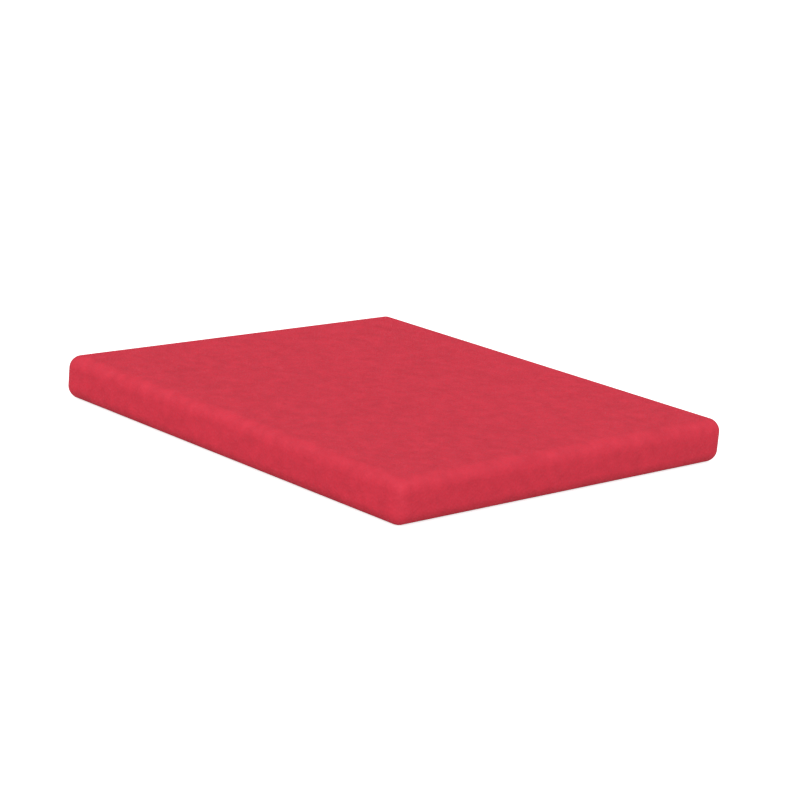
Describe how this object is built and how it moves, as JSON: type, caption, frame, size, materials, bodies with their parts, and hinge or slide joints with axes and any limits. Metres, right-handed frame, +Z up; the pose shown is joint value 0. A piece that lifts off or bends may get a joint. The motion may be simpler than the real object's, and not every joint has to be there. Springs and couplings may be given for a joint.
{
  "type": "cutting board",
  "caption": "Thick one-piece red polyethylene cutting board for butcher and deli work, with every edge and corner rounded and two flat faces.",
  "frame": {"origin": "centre of the underside, on the surface that the board rests on", "axes": "+Z up through the board's thickness, X across its width, Y along its length"},
  "size_m": [0.4, 0.44, 0.04],
  "materials": {
    "red_polyethylene": "matte"
  },
  "bodies": {
    "root": {"board": "red_polyethylene"}
  },
  "joints": []
}
